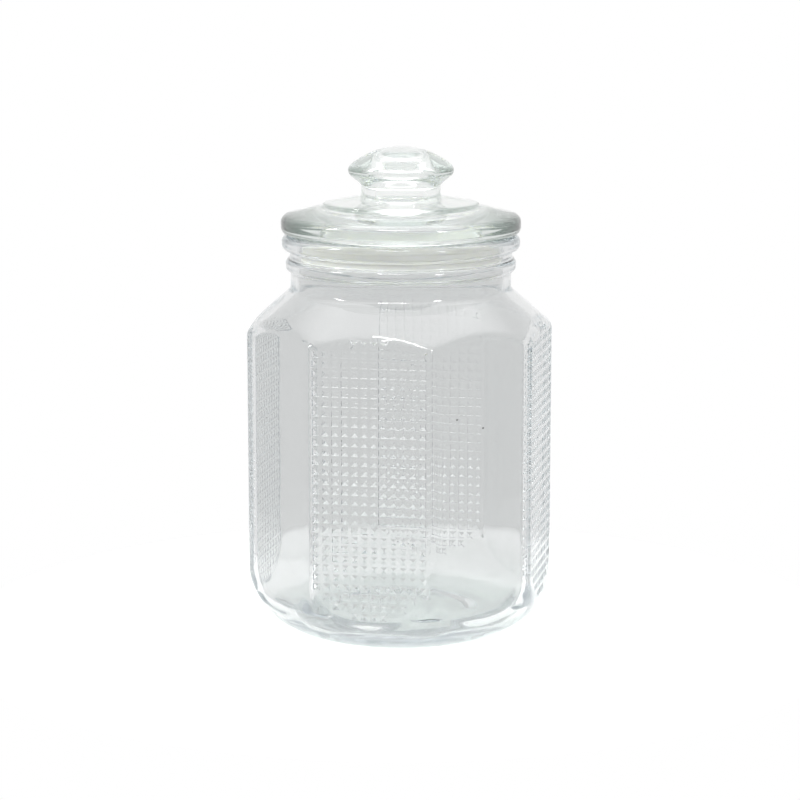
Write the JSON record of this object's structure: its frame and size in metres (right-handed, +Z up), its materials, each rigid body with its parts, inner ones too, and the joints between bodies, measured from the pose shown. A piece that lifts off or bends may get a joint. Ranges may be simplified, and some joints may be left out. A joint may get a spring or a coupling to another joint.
{
  "type": "glass storage jar",
  "caption": "Clear eight-sided glass storage jar with waffle-textured sides, a round lid with a knob handle and a soft seal ring.",
  "frame": {"origin": "centre of the foot, on the surface the jar stands on", "axes": "+Z up along the jar's axis; the waffled sides face +X, -X, +Y and -Y"},
  "size_m": [0.133, 0.133, 0.2251],
  "materials": {
    "jar_glass": "clear pressed soda-lime glass, polished, with a faint grey-green tint",
    "lid_glass": "clear pressed soda-lime glass, polished, greener where it is thick",
    "seal_plastic": "milky translucent soft plastic, satin"
  },
  "bodies": {
    "root": {"jar": "jar_glass", "lid": "lid_glass", "seal": "seal_plastic"}
  },
  "joints": []
}
